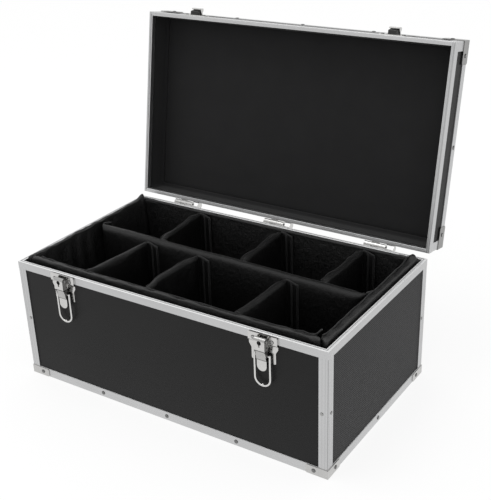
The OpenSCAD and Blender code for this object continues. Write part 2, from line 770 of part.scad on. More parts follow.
// Lid leaf: the mirror image with one knuckle in the middle.
module hinge_lid(n) {
    notch = knuckle_third + 2 * knuckle_gap;
    length = leaf_end + knuckle_len / 2;
    cut = knuckle_third + knuckle_gap;
    color(steel) lid_pose() at_hinge(n) {
        difference() {
            translate([(leaf_end - knuckle_len / 2) / 2, 0, 2 * hinge_rise]) along_x(length)
                mirror([0, 1]) joggled_sheet(hinge_rise - 0.5, leaf_h + 2 * hinge_rise,
                    rim_leg + rim_gap - 2 * hinge_rise, leaf_t);
            for (s = [0, 1]) mirror([s, 0, 0])
                translate([knuckle_third / 2 - knuckle_gap / 2, 0, hinge_rise - 10 + knuckle_clear])
                    cube([cut + knuckle_gap / 2 + 0.2, 10, 10]);
        }
        intersection() {
            translate([0, 0, 2 * hinge_rise]) mirror([0, 0, 1])
                knuckle(-knuckle_third / 2, knuckle_third / 2, hinge_pin_r + turn_play);
            translate([-20, 0, -10]) cube(40);
        }
    }
}
module hinge_pins() {
    head = 0.6;
    color(steel) for (n = [-1:1]) at_hinge(n)
        translate([-knuckle_len / 2 - head, hinge_out, hinge_rise]) rotate([0, 90, 0]) {
            cylinder(r = hinge_pin_r, h = knuckle_len + 2 * head);
            cylinder(r = hinge_pin_r + 0.7, h = head - 0.05);
        }
}
module hinge_base_left() { hinge_base(-1); }
module hinge_base_middle() { hinge_base(0); }
module hinge_base_right() { hinge_base(1); }
module hinge_lid_left() { hinge_lid(-1); }
module hinge_lid_middle() { hinge_lid(0); }
module hinge_lid_right() { hinge_lid(1); }

// ---- Handle on the lid ----

// Angle between the hanging handle and the lid's outer face
handle_hang = lid_open - 90;
mount_l = 30;
mount_w = 26;
mount_t = 1.5;
arm_half = 6;
mount_x = handle_len / 2 + arm_half + 0.5;
module handle_mounts() {
    color(steel) lid_pose() for (s = [-1, 1]) mirror([s > 0 ? 0 : 1, 0, 0])
        translate([mount_x, 0, lid_panel_top]) {
            // foot plate
            translate([mount_l / 2 - 3, 0, 0]) linear_extrude(mount_t) polygon(concat(
                arc(mount_l / 2 - 4, mount_w / 2 - 4, 4, 0, 90),
                arc(4 - mount_l / 2, mount_w / 2 - 4, 4, 90, 180),
                arc(4 - mount_l / 2, 4 - mount_w / 2, 4, 180, 270),
                arc(mount_l / 2 - 4, 4 - mount_w / 2, 4, 270, 360)));
            // lug with the pivot pin
            rotate([90, 0, 90]) linear_extrude(3) polygon(concat(
                arc(0, handle_rise, 4.6, -10, 190, 12), [[-8, mount_t - 0.1], [8, mount_t - 0.1]]));
            translate([-arm_half * 1.5, 0, handle_rise]) rotate([0, 90, 0])
                cylinder(r = handle_pin_r, h = arm_half * 1.5 + 1);
        }
}
// Grip with swelling sections between two arms that hang from the pivots.
module lid_handle() {
    grip_half = handle_len / 2 - 4;
    color(handle_black) lid_pose() translate([0, 0, lid_panel_top + handle_rise])
        rotate([handle_hang, 0, 0]) difference() {
            union() {
                translate([0, handle_reach, 0]) rotate([0, 90, 0]) rotate_extrude()
                    polygon(concat([[0, -grip_half]],
                        [for (i = [0:12]) let (x = -grip_half + 2 * grip_half * i / 12)
                            [grip_r - 1.2 + 1.2 * cos(x * 90 / grip_half), x]],
                        [[0, grip_half]]));
                for (s = [-1, 1]) translate([s * handle_len / 2 - arm_half, 0, 0])
                    rotate([90, 0, 90]) linear_extrude(2 * arm_half) handle_arm_section();
            }
            for (s = [-1, 1]) translate([s * (handle_len / 2 + arm_half + 1), 0, 0])
                rotate([0, -s * 90, 0])
                    cylinder(r = handle_pin_r + turn_play, h = arm_half * 1.5 + 2);
        }
}
module handle_arm_section() {
    circle(5.4);
    translate([handle_reach, 0]) circle(grip_r - 0.6);
    polygon([[0, -5.4], [handle_reach, -grip_r + 0.6], [handle_reach, grip_r - 0.6], [0, 5.4]]);
}

// ---- Padded insert ----

// Closed surface swept through rings of points; the first and the last ring are caps.
module swept(rings) {
    n = len(rings[0]);
    m = len(rings);
    polyhedron(
        points = [for (ring = rings) each ring],
        faces = concat(
            [[for (j = [0:n - 1]) j]],
            [for (i = [0:m - 2], j = [0:n - 1]) let (a = i * n + j, b = i * n + (j + 1) % n)
                each [[a, a + n, b + n], [a, b + n, b]]],
            [[for (j = [n - 1:-1:0]) (m - 1) * n + j]]));
}

// Section of a wall pad, from its outer foot over the roll, the seam and the binding
// to its inner foot: d is the depth from the outer face, z the height.
function pad_ring(t, z0, z1, swell) = concat(
    [[0.8, z0], [0, z0 + 6], [-swell, (z0 + z1) / 2], [0, z1 - 6]],
    [for (a = [160:-22:72]) [t * 0.36 + t * 0.36 * cos(a), z1 - 6 + 6 * sin(a)]],
    [[t * 0.66, z1 - 1.4], [t * 0.71, z1 - 1.9]],
    [for (a = [150:-50:0]) [t * 0.86 + t * 0.14 * cos(a), z1 - 2 + 1.4 * sin(a)]],
    [[t, z1 - 5], [t + swell, (z0 + z1) / 2], [t, z0 + 6], [t - 0.8, z0]]);

pad_insets = [front_inset, side_inset, back_inset, side_inset];
pad_depths = [front_t, side_t, back_t, side_t];
pad_crests = [pad_crest, pad_crest, back_crest, pad_crest];
// Ends of each pad: [distance from the outer face of the panel beyond, 1 where mitred].
// The front corners are mitred; at the back the side pads stop square at the back pad.
back_reach = back_inset + back_t;
pad_ends = [[[front_inset, 1], [front_inset, 1]], [[side_inset, 1], [back_reach, 0]],
            [[back_inset, 0], [back_inset, 0]], [[back_reach, 0], [side_inset, 1]]];
// Wall pad along a side: its crest lifts towards the corners.
module wall_pad(k) {
    inset = pad_insets[k];
    wall = k % 2 == 0 ? half_w : half_d;
    first = soft_gap + pad_ends[k][0][0] - wall;
    last = wall - pad_ends[k][1][0] - soft_gap;
    // stations of one end: [distance from the end, share of the mitre, drop of the crest]
    ends = [[0, 1, 1.8], [3, 0.92, 0.2], [9, 0.7, 0], [19, 0.3, 0], [34, 0, 0]];
    mid = last - first - 68;
    stations = concat(
        [for (e = ends) [first + e[0], e[1] * pad_ends[k][0][1], e[2]]],
        [for (i = [1:5]) [first + 34 + mid * i / 6, 0, 0]],
        [for (e = reversed(ends)) [last - e[0], e[1] * pad_ends[k][1][1], e[2]]]);
    rings = [for (st = stations)
        let (u = (2 * st[0] - first - last) / (last - first), swell = 1.1 * (1 - u * u),
             rise = pad_lift * pow(abs(u), 6) + 0.5 * sin(3 * 180 * u + 60 * k) - st[2])
        [for (p = pad_ring(pad_depths[k], pad_bottom, base_h + pad_crests[k] + rise, swell))
            [st[0] - sign(u) * (st[1] * max(p[0], 0) + soft_gap),
             p[0] + inset + metal_t, p[1]]]];
    color(lining_black) on_side(k) swept(rings);
}
module pad_front() { wall_pad(0); }
module pad_right() { wall_pad(1); }
module pad_back() { wall_pad(2); }
module pad_left() { wall_pad(3); }

// Floor pad with a low crown and its edges rolled in.
module floor_pad() {
    margin = panel_t + 1.5;
    steps = 4;
    rx = half_w - margin;
    ry = half_d - margin;
    z0 = floor_top;
    rings = [for (q = [[0, 2], [0, 0], [0.45, 0], [0.9, 0.8], [1, 2.6]])
        let (z = z0 + q[0] * floor_pad_t, e = q[1], c = 5)
        [for (a = [0:3]) let (sx = a == 0 || a == 3 ? 1 : -1, sy = a < 2 ? 1 : -1)
            each [for (b = [0:steps]) let (t = 90 * a + 90 * b / steps)
                [sx * (rx - c - e) + c * cos(t), sy * (ry - c - e) + c * sin(t), z]]]];
    color(lining_black) swept(rings);
}

divider_top = base_h + divider_crest;
inner_x = half_w - side_inset - side_t;
inner_front = half_d - front_inset - front_t;
inner_back = half_d - back_inset - back_t;
// Middle line of the long divider at x.
function long_y(x) = long_left + (long_right - long_left) * (x + inner_x) / (2 * inner_x);

// Section of a divider: t thick, rolled at the top over a narrow binding.
function divider_ring(t, z0, z1) = let (r = t / 2) concat(
    [[-r + 0.3, z0], [-r, z0 + 4], [-r, z1 - r]],
    [for (a = [150:-30:30]) [r * cos(a), z1 - r + r * sin(a)]],
    [[r, z1 - r], [r, z0 + 4], [r - 0.3, z0]]);

// Wall swept along stations [x, y, thickness, top]; its sections stay square to the path.
module soft_wall(st) {
    n = len(st);
    rings = [for (i = [0:n - 1])
        let (a = st[max(i - 1, 0)], b = st[min(i + 1, n - 1)],
             d = [b[0] - a[0], b[1] - a[1]] / norm([b[0] - a[0], b[1] - a[1]]),
             nx = d[1], ny = -d[0])
        [for (p = divider_ring(st[i][2], pad_bottom, st[i][3]))
            [st[i][0] + nx * p[0], st[i][1] + ny * p[0], p[1]]]];
    color(lining_black) swept(rings);
}
// Flap at the end of a wall at [x, y]: it leaves along dir and turns to side.
function tab_stations(x, y, dir, side, top, len = tab_len, t = divider_t) =
    // rows of [distance back from the end, distance to the side, thickness, share of the fall]
    let (rows = [[0.54 * t, 0, 0.9 * t, 0.06], [0.27 * t, 0.6, 1.5 * tab_t, 0.12],
                 [tab_t / 2, 3.4, tab_t, 0.22], [tab_t / 2, 0.6 * len, tab_t, 0.6],
                 [tab_t / 2, len, 0.8 * tab_t, 1]])
    [for (row = rows)
        [x - dir[0] * row[0] + side[0] * row[1], y - dir[1] * row[0] + side[1] * row[1],
         row[2], top - row[3] * tab_fall]];
function reversed(list) = [for (i = [len(list) - 1:-1:0]) list[i]];

module long_divider() {
    reach = inner_x - soft_gap - 1.1;
    top = base_h + long_crest;
    soft_wall(concat(
        reversed(tab_stations(-reach, long_y(-reach), [-1, 0], [0, 1], top, tab_len, long_t)),
        [for (i = [-4:4]) let (x = i * 0.21 * inner_x)
            [x, long_y(x) + 0.8 * sin(i * 80), long_t, top + 0.4 * cos(i * 95)]],
        tab_stations(reach, long_y(reach), [1, 0], [0, 1], top, tab_len, long_t)));
}

long_gap = long_t / 2 + soft_gap + 0.9;
wall_gap = soft_gap + 1.1;
// Cross divider in the front row. Its middle line passes the points [share of the
// depth, share of the half width]. With front_tab it has a flap at the front as well.
module front_divider(pts, front_tab = false) {
    y0 = -inner_front + wall_gap;
    last = pts[len(pts) - 1][1] * inner_x;
    y1 = long_y(last) - long_gap;
    top = divider_top;
    path = [for (p = pts) [p[1] * inner_x, y0 + p[0] * (y1 - y0), divider_t, top - 0.6 * p[0]]];
    soft_wall(concat(
        front_tab ? reversed(tab_stations(path[0][0], y0, [0, -1], [1, 0], top, tab_short))
                  : [path[0]],
        [for (i = [1:len(path) - 1]) path[i]],
        tab_stations(last, y1, [0, 1], [1, 0], top - 1)));
}
module front_divider_left() {
    front_divider([[0, -0.620], [0.3, -0.604], [0.62, -0.588], [0.88, -0.576]]);
}
module front_divider_middle() {
    front_divider([[0, -0.170], [0.14, -0.175], [0.3, -0.191], [0.52, -0.186], [0.74, -0.178],
                   [0.88, -0.166]], true);
}
module front_divider_right() {
    front_divider([[0, 0.464], [0.3, 0.466], [0.62, 0.471], [0.88, 0.478]]);
}
// Cross divider in the back row, from share x0 of the half width at the long divider
// to share x1 at the back wall.
module back_divider(x0, x1) {
    a = x0 * inner_x;
    b = x1 * inner_x;
    y0 = long_y(a) + long_gap;
    y1 = inner_back - wall_gap;
    top = divider_top;
    soft_wall(concat(
        reversed(tab_stations(a, y0, [0, -1], [1, 0], top - 1)),
        [for (u = [0.12, 0.35, 0.6, 0.86])
            [a + u * (b - a) + 0.7 * sin(u * 300), y0 + u * (y1 - y0), divider_t, top]],
        tab_stations(b, y1, [0, 1], [1, 0], top - 0.6)));
}
module back_divider_left() { back_divider(-0.515, -0.548); }
module back_divider_middle() { back_divider(0.116, 0.102); }
module back_divider_right() { back_divider(0.683, 0.691); }

// Lining of the lid: a thin pad with rolled edges under the top panel.
module lid_lining() {
    margin = panel_t + 1.2;
    steps = 4;
    rx = half_w - margin;
    ry = half_d - margin;
    z1 = lid_panel_top - panel_t;
    rings = [for (q = [[1, 2.6], [0.9, 1], [0.5, 0], [0, 0.4]])
        let (z = z1 - q[0] * lining_t, e = q[1], c = 5)
        [for (a = [0:3]) let (sx = a == 0 || a == 3 ? 1 : -1, sy = a < 2 ? 1 : -1)
            each [for (b = [0:steps]) let (t = 90 * a + 90 * b / steps)
                [sx * (rx - c - e) + c * cos(t), sy * (ry - c - e) + c * sin(t), z]]]];
    color(lining_black) lid_pose() swept(rings);
}

front_panel();
back_panel();
left_panel();
right_panel();
bottom_panel();
base_rim_front();
base_rim_back();
base_rim_left();
base_rim_right();
base_angle_front();
base_angle_back();
base_angle_left();
base_angle_right();
base_upright_angles();
base_brackets();
base_rivets();
latch_plate_left();
latch_plate_right();
latch_lever_left();
latch_lever_right();
latch_bail_left();
latch_bail_right();
lock_plug_left();
lock_plug_right();
latch_pins();
hinge_base_left();
hinge_base_middle();
hinge_base_right();
hinge_lid_left();
hinge_lid_middle();
hinge_lid_right();
hinge_pins();
pad_front();
pad_back();
pad_left();
pad_right();
floor_pad();
long_divider();
front_divider_left();
front_divider_middle();
front_divider_right();
back_divider_left();
back_divider_middle();
back_divider_right();
lid_top_panel();
lid_front_panel();
lid_back_panel();
lid_left_panel();
lid_right_panel();
lid_rim();
lid_top_angles();
lid_corner_angles();
lid_brackets();
lid_rivets();
strike_left();
strike_right();
strike_blocks();
lid_lining();
handle_mounts();
lid_handle();
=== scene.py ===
"""The looks of the record carrying case: finishes, padded insert, stage and camera."""

import math

import bpy
from mathutils import Matrix, Vector, noise


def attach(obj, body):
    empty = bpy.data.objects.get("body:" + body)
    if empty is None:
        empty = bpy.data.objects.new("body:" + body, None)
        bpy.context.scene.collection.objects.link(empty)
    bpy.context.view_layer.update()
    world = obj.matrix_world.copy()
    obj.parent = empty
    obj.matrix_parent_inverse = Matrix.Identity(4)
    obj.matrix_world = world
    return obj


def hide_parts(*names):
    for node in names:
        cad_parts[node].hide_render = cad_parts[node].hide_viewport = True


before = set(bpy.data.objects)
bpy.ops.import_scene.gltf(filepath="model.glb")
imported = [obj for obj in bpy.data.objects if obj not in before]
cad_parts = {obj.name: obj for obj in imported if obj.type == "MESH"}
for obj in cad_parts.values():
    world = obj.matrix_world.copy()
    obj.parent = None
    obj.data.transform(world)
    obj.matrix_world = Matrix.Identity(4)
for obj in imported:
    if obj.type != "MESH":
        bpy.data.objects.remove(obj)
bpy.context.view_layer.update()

# ---- Sizes, in metres, as in the construction ----

HALF_W = 0.260
HALF_D = 0.148
BASE_H = 0.1926
PANEL_T = 0.0036
METAL_T = 0.0011
LID_OPEN = math.radians(99.9)
HINGE_Y = HALF_D + 0.006
HINGE_Z = BASE_H + 0.0008
RIM_INNER = 0.009
FLOOR_TOP = 0.0047
FLOOR_PAD_T = 0.008
LINING_BACK = BASE_H + 0.0501 - 0.0011 - PANEL_T
LINING_T = 0.004
SOFT_GAP = 0.0003
PAD_FOOT = FLOOR_TOP + FLOOR_PAD_T + SOFT_GAP
# how far a pad's crest rises towards its ends, and at the ends beside the hinges
PAD_LIFT = 0.0026
BACK_PEAK = 0.0055
# rows of points up each side of a padded wall, and over a pad's roll
WALL_ROWS = 15
ROLL_POINTS = 7
SEAM_POINT = WALL_ROWS + ROLL_POINTS
# distance in from the panel's outer face, depth, height of the crest, the two ends as
# (distance in, share of a full mitre), and the seed of its folds
WALL_PADS = {
    "front": (0.0115, 0.0115, BASE_H + 0.0048, ((0.0115, 1), (0.0142, 1)), 1),
    "right": (0.0075, 0.0144, BASE_H + 0.0048, ((0.0085, 0.7), (0.013, 0)), 2),
    "back": (0.0055, 0.0075, BASE_H + 0.0008, ((0.0055, 0), (0.0055, 0)), 3),
    "left": (0.0075, 0.0144, BASE_H + 0.0048, ((0.013, 0), (0.0075, 1)), 4),
}
# share of a pad's depth that its roll takes, and how much thinner the pad is at its head
ROLL_SHARE = {"front": 0.74, "right": 0.86, "back": 0.8, "left": 0.46}
PAD_LEAN = {"front": 0, "right": 0, "back": 0, "left": 0.0055}
INNER_X = HALF_W - 0.0075 - 0.0144
INNER_FRONT = HALF_D - 0.0115 - 0.0115
INNER_BACK = HALF_D - 0.0055 - 0.0075
DIVIDER_T = 0.010
DIVIDER_TOP = BASE_H + 0.0014
LONG_T = 0.014
LONG_CREST = 0.0046
LONG_LEFT = 0.013
LONG_RIGHT = 0.002
LONG_GAP = LONG_T / 2 + SOFT_GAP + 0.0009
WALL_GAP = SOFT_GAP + 0.0011
FLAP_LEN = 0.020
SHORT_FLAP = 0.016
FLAP_T = 0.003
FLAP_FALL = 0.007
# a divider's wall is thinner than this only where it turns into a flap
THIN_WALL = 0.0075
# heights of the folds across a lever's face, and of its wrap over the pivot, where the levers' base
# colour has painted shade
LEVER_CREASES = (BASE_H - 0.0218, BASE_H - 0.0370)
LEVER_WRAP = BASE_H - 0.0068
# the most that the cloth may swell
SWELL = 0.0015
# middle lines of the front dividers: share of the depth, share of half the inner width
FRONT_LEFT_LINE = [(0, -0.620), (0.3, -0.604), (0.62, -0.588), (0.88, -0.576)]
FRONT_MIDDLE_LINE = [(0, -0.170), (0.14, -0.175), (0.3, -0.191), (0.52, -0.186), (0.74, -0.178),
                     (0.88, -0.166)]
FRONT_RIGHT_LINE = [(0, 0.464), (0.3, 0.466), (0.62, 0.471), (0.88, 0.478)]
# tape that stands up where the front pad meets the right one
CORNER_LOOP = [(0.2235, -0.1275, 0.1945), (0.2295, -0.1275, 0.1968), (0.2335, -0.1255, 0.2),
               (0.235, -0.1215, 0.2018), (0.2345, -0.117, 0.2008), (0.2325, -0.1145, 0.1975)]


def front_bulge(run, z):
    """Slack fabric of the front pad, left of its middle."""
    return 0.0024 * math.exp(-((run + 0.085) / 0.045) ** 2 - ((z - 0.172) / 0.035) ** 2)


def no_bulge(run, z):
    """Fabric that lies straight."""
    return 0


def left_folds(run, z):
    """Upright folds where the long divider pulls on the left pad."""
    pull = math.exp(-((run - 0.03) / 0.045) ** 2) * min(1, max(0, (0.193 - z) / 0.03))
    return 0.0026 * pull * math.sin(2 * math.pi * run / 0.026)


INNER_BULGE = {"front": front_bulge, "right": no_bulge, "back": no_bulge, "left": left_folds}


# ---- Camera ----

CAMERA_AT = Vector((0.7283, -1.0218, 0.7940))
CAMERA_TARGET = Vector((0.0592, -0.0440, 0.2028))
CAMERA_ROLL = math.radians(-2.343)
PICTURE_LONG_SIDE = 500
FOCAL_PIXELS = 950.76
OPTICAL_AXIS = (236.52, 274.31)
PICTURE_CENTRE = (245.5, 250.0)


def place_camera():
    """Camera where the photograph was taken from."""
    data = bpy.data.cameras.new("camera")
    data.sensor_width = 36
    data.lens = FOCAL_PIXELS * 36 / PICTURE_LONG_SIDE
    data.shift_x = (PICTURE_CENTRE[0] - OPTICAL_AXIS[0]) / PICTURE_LONG_SIDE
    data.shift_y = (OPTICAL_AXIS[1] - PICTURE_CENTRE[1]) / PICTURE_LONG_SIDE
    camera = bpy.data.objects.new("camera", data)
    bpy.context.scene.collection.objects.link(camera)
    back = (CAMERA_AT - CAMERA_TARGET).normalized()
    level = Vector((0, 0, 1)).cross(back).normalized()
    upright = back.cross(level)
    right = math.cos(CAMERA_ROLL) * level + math.sin(CAMERA_ROLL) * upright
    up = math.cos(CAMERA_ROLL) * upright - math.sin(CAMERA_ROLL) * level
    turn = Matrix((right, up, back)).transposed().to_4x4()
    camera.matrix_world = Matrix.Translation(CAMERA_AT) @ turn
    bpy.context.scene.camera = camera


place_camera()


# ---- Shader tools ----

class Wire:
    """A value in a finish: arithmetic on it adds Math nodes."""

    def __init__(self, finish, socket):
        self.finish = finish
        self.socket = socket

    def math(self, operation, *values):
        return self.finish.node("Math", {"operation": operation}, dict(enumerate(values)))

    def __add__(self, other):
        return self.math("ADD", self, other)

    def __sub__(self, other):
        return self.math("SUBTRACT", self, other)

    def __mul__(self, other):
        return self.math("MULTIPLY", self, other)

    def __radd__(self, other):
        return self.math("ADD", other, self)

    def __rsub__(self, other):
        return self.math("SUBTRACT", other, self)

    def __rmul__(self, other):
        return self.math("MULTIPLY", other, self)

    def __abs__(self):
        return self.math("ABSOLUTE", self)

    def sine(self):
        return self.math("SINE", self)

    def at_most(self, other):
        return self.math("MINIMUM", self, other)

    def at_least(self, other):
        return self.math("MAXIMUM", self, other)

    def above(self, threshold):
        return self.math("GREATER_THAN", self, threshold)

    def ramp(self, low, high):
        """0 below low, 1 above high and straight in between."""
        return self.finish.node("MapRange", {}, {"Value": self, "From Min": low, "From Max": high})


class Finish:
    """A material and the nodes in it."""

    def __init__(self, name):
        self.material = bpy.data.materials.new(name)
        self.material.use_nodes = True
        self.tree = self.material.node_tree
        self.tree.nodes.clear()

    def node(self, kind, settings=None, inputs=None, output=0):
        made = self.tree.nodes.new("ShaderNode" + kind)
        for key, value in (settings or {}).items():
            setattr(made, key, value)
        for key, value in (inputs or {}).items():
            if isinstance(value, Wire):
                self.tree.links.new(value.socket, made.inputs[key])
            else:
                made.inputs[key].default_value = value
        return Wire(self, made.outputs[output])

    def place(self, turn=(0, 0, 0), scale=(1, 1, 1)):
        """Place on the piece in metres, at rest, turned and stretched."""
        where = self.node("TexCoord", output="Object")
        return self.node("Mapping", {}, {"Vector": where, "Rotation": turn, "Scale": scale})

    def along(self, place, axis):
        return self.node("SeparateXYZ", {}, {"Vector": place}, output=axis)

    def noise(self, place, scale, detail=3.0, roughness=0.5):
        return self.node("TexNoise", {}, {"Vector": place, "Scale": scale, "Detail": detail,
                                          "Roughness": roughness})

    def blend(self, share, first, second):
        """Colour between first and second."""
        a, b = (c if isinstance(c, Wire) else (*c, 1) for c in (first, second))
        return self.node("Mix", {"data_type": "RGBA"}, {0: share, 6: a, 7: b}, output=2)

    def bump(self, height, depth, strength=1.0, over=None):
        inputs = {"Height": height, "Distance": depth, "Strength": strength}
        if over is not None:
            inputs["Normal"] = over
        return self.node("Bump", {}, inputs)

    def surface(self, **inputs):
        named = {key.replace("_", " "): value for key, value in inputs.items()}
        shader = self.node("BsdfPrincipled", {}, named)
        self.node_out(shader)
        return self.material

    def node_out(self, shader):
        end = self.tree.nodes.new("ShaderNodeOutputMaterial")
        self.tree.links.new(shader.socket, end.inputs["Surface"])


# ---- Finishes ----

def laminate(name, across, up, gloss, highlight_and_tone, rough=0.34):
    """Black plastic skin with an embossed diamond grain, on a panel along two axes; the diamonds are
    lighter in the base colour, a painted highlight mixed with random cloud.
    """
    finish = Finish(name)
    place = finish.place()
    a = finish.along(place, across)
    b = finish.along(place, up)
    pitch = 0.0031
    rising = abs(((a + b) * (math.pi / pitch)).sine())
    falling = abs(((a - b) * (math.pi / pitch)).sine())
    diamond = rising.at_most(falling)
    cloud = finish.noise(place, 14, 4)
    scuff = finish.noise(finish.place(scale=(1, 1, 3)), 60, 5, 0.7).ramp(0.62, 0.8)
    # painted highlight: the diamonds of the grain are lighter than the lines between them, by the given
    # amount
    dark, light = 0.003, 0.003 + highlight_and_tone
    return finish.surface(
        Base_Color=finish.blend(diamond.ramp(0.15, 0.75) * 0.8 + cloud * 0.2, (dark, dark, dark),
                                (light, light, light * 1.02)),
        Roughness=rough + 0.12 * cloud + 0.1 * scuff,
        Specular_IOR_Level=gloss,
        Normal=finish.bump(diamond, 0.00022, 0.5),
    )


BRIGHT_ALUMINIUM = (0.61, 0.612, 0.615)
DULL_ALUMINIUM = (0.47, 0.472, 0.475)
# painted highlight: a lighter base colour for faces that point up
TOP_HIGHLIGHT_ALUMINIUM = (0.86, 0.862, 0.865)
# painted shade for the lines along the ribs
RIB_SHADOW = (0.16, 0.16, 0.16)


def draw_lines(finish, axis, turn=(0, 0, 0)):
    """Fine lines along an axis, as an extrusion die leaves them."""
    stretch = tuple(0.02 if axis == other else 1 for other in "XYZ")
    return finish.noise(finish.place(turn, stretch), 900, 2)


def edging(name, run, ribs=()):
    """Satin aluminium with the fine draw lines of an extrusion along its run. Faces that point up get a
    painted highlight, except on the lid, and painted shade lines run along the ribs at distances in
    from the outer corner, given as (distance, depth), depth being how dark the line is."""
    finish = Finish(name)
    here = finish.place()
    facing = finish.node("TexCoord", output="Normal")
    if run == "lid":
        side = abs(finish.along(here, "X")).above(HALF_W - 0.006)
        tilted = draw_lines(finish, "Z", (LID_OPEN - math.pi / 2, 0, 0))
        grain = draw_lines(finish, "X") * (1 - side) + tilted * side
        # the lid's edging gets no painted highlight
        level = 0.0
    else:
        grain = draw_lines(finish, run)
        # painted highlight: faces that point up get a lighter, less metallic base colour
        level = finish.along(facing, "Z").above(0.7)
    cloud = finish.noise(here, 9, 3)
    speck = finish.noise(here, 420, 2, 0.6).ramp(0.68, 0.78)
    painted_rib_shade = 0.0
    # painted shade: dark lines in the base colour at given distances in from the outer corner, along
    # the ribs
    if ribs:
        front = abs(finish.along(facing, "Y")).above(0.7)
        inward = front * (HALF_W + METAL_T - abs(finish.along(here, "X")))
        inward = inward + (1 - front) * (HALF_D + METAL_T - abs(finish.along(here, "Y")))
        for distance, depth in ribs:
            painted_rib_shade = painted_rib_shade + depth * (1 - abs(inward - distance).ramp(0.0002, 0.0007))
    metal = finish.blend(0.65 * cloud + 0.2 * grain + 0.3 * speck, BRIGHT_ALUMINIUM, DULL_ALUMINIUM)
    metal = finish.blend(0.8 * level, metal, TOP_HIGHLIGHT_ALUMINIUM)
    return finish.surface(
        Base_Color=finish.blend(painted_rib_shade, metal, RIB_SHADOW),
        Metallic=1 - 0.75 * level,
        Roughness=0.30 + 0.12 * grain + 0.06 * cloud,
        Normal=finish.bump(grain, 0.00006, 0.35),
    )


def plating(name, bright, smooth):
    """Nickel plating with faint smears and rolling marks."""
    finish = Finish(name)
    here = finish.place()
    smear = finish.noise(here, 70, 4, 0.6)
    marks = finish.noise(finish.place(scale=(1, 1, 0.06)), 1400, 2)
    pit = finish.noise(here, 900, 2, 0.7).ramp(0.66, 0.8)
    low = bright * 0.82
    return finish.surface(
        Base_Color=finish.blend(smear * 0.8 + pit * 0.4, (bright, bright * 0.995, bright * 0.98),
                                (low, low * 0.99, low * 0.97)),
        Metallic=1.0,
        Roughness=smooth + 0.12 * smear + 0.1 * pit,
        Normal=finish.bump(marks * 0.4 + smear * 0.6, 0.00008, 0.3),
    )


def rivet_metal(name):
    """Dull plated rivet heads with painted shade: dark round the rim where the dome falls away, and
    darker on the rivets lowest down.
    """
    finish = Finish(name)
    here = finish.place()
    facing = finish.node("TexCoord", output="Normal")
    x, y, z = (abs(finish.along(facing, axis)) for axis in "XYZ")
    high = finish.along(here, "Z")
    flat = high.above(0.17)
    low = 1 - high.above(0.03)
    # painted shade: darker where the head's faces turn away from the axes, and on rivets less than 3 cm
    # up
    crown = x.at_least(y).at_least(z)
    crown = crown.ramp(0.86, 0.95) * (1 - flat) + crown.ramp(0.962, 0.988) * flat
    speck = finish.noise(here, 1300, 3, 0.6)
    return finish.surface(
        Base_Color=finish.blend(crown * (1 - 0.3 * speck) * (1 - 0.6 * low), (0.05, 0.05, 0.05),
                                (0.5, 0.5, 0.495)),
        Metallic=1.0,
        Roughness=0.3 + 0.15 * speck,
        Normal=finish.bump(speck, 0.00006, 0.4),
    )


def lever_plating(name):
    """Nickel plating on the levers with painted shade: darker side walls, a dimmer slope, dark lines at
    the creases and a darker wrap over the pivot.
    """
    finish = Finish(name)
    here = finish.place()
    up = finish.along(here, "Z")
    smear = finish.noise(here, 80, 4, 0.6)
    scratch = finish.noise(finish.place(scale=(0.1, 1, 1)), 1500, 2)
    # painted shade: side walls, the slope, the creases and the wrap over the pivot darken the base
    # colour
    wall = abs(finish.along(finish.node("TexCoord", output="Normal"), "X")).above(0.7)
    upper = (abs(up - LEVER_CREASES[0])).ramp(0.0005, 0.001)
    lower = (abs(up - LEVER_CREASES[1])).ramp(0.0004, 0.0009)
    slope = up.above(LEVER_CREASES[1]) * (1 - up.above(LEVER_CREASES[0]))
    shade = (1 - 0.72 * wall) * (1 - 0.2 * slope) * (0.1 + 0.9 * upper) * (0.35 + 0.65 * lower)
    shade = shade * (1 - 0.35 * up.above(LEVER_WRAP))
    tone = shade * (1 - 0.15 * smear - 0.06 * scratch)
    return finish.surface(
        Base_Color=finish.blend(tone, (0.02, 0.02, 0.02), (0.66, 0.657, 0.645)),
        Metallic=1.0,
        Roughness=0.16 + 0.12 * smear + 0.2 * slope,
        Normal=finish.bump(scratch * 0.4 + smear * 0.6, 0.00008, 0.3),
    )


def lock_metal(name):
    """Dark lock plug with turned rings."""
    finish = Finish(name)
    here = finish.place()
    speck = finish.noise(here, 1600, 3)
    return finish.surface(
        Base_Color=finish.blend(speck, (0.02, 0.02, 0.021), (0.06, 0.06, 0.062)),
        Metallic=0.7,
        Roughness=0.42 + 0.2 * speck,
        Normal=finish.bump(speck, 0.00005, 0.4),
    )


def nylon(name, light, gloss, ruffle):
    """Black woven nylon over foam: a fine weave, soft creases and a little lint."""
    finish = Finish(name)
    here = finish.place()
    x = finish.along(here, "X")
    y = finish.along(here, "Y")
    z = finish.along(here, "Z")
    thread = 2 * math.pi / 0.0013
    warp = abs(((x + y) * thread).sine())
    weft = abs(((z + 0.35 * x) * thread).sine())
    weave = warp * 0.5 + weft * 0.5
    crease = finish.noise(finish.place(scale=(1, 1, 0.45)), 38, 3, 0.55)
    ripple = finish.noise(here, 150, 4, 0.65)
    lint = finish.noise(here, 700, 3, 0.8).ramp(0.71, 0.8)
    folds = finish.bump(crease * 0.6 + ripple * 0.4, ruffle, 0.85)
    return finish.surface(
        Base_Color=finish.blend(0.45 * weave + 0.35 * ripple + 0.25 * lint,
                                (0.0, 0.0, 0.0), (light, light, light * 1.03)),
        Roughness=0.38 + 0.16 * weave,
        Specular_IOR_Level=gloss,
        Normal=finish.bump(weave, 0.00022, 0.6, over=folds),
    )


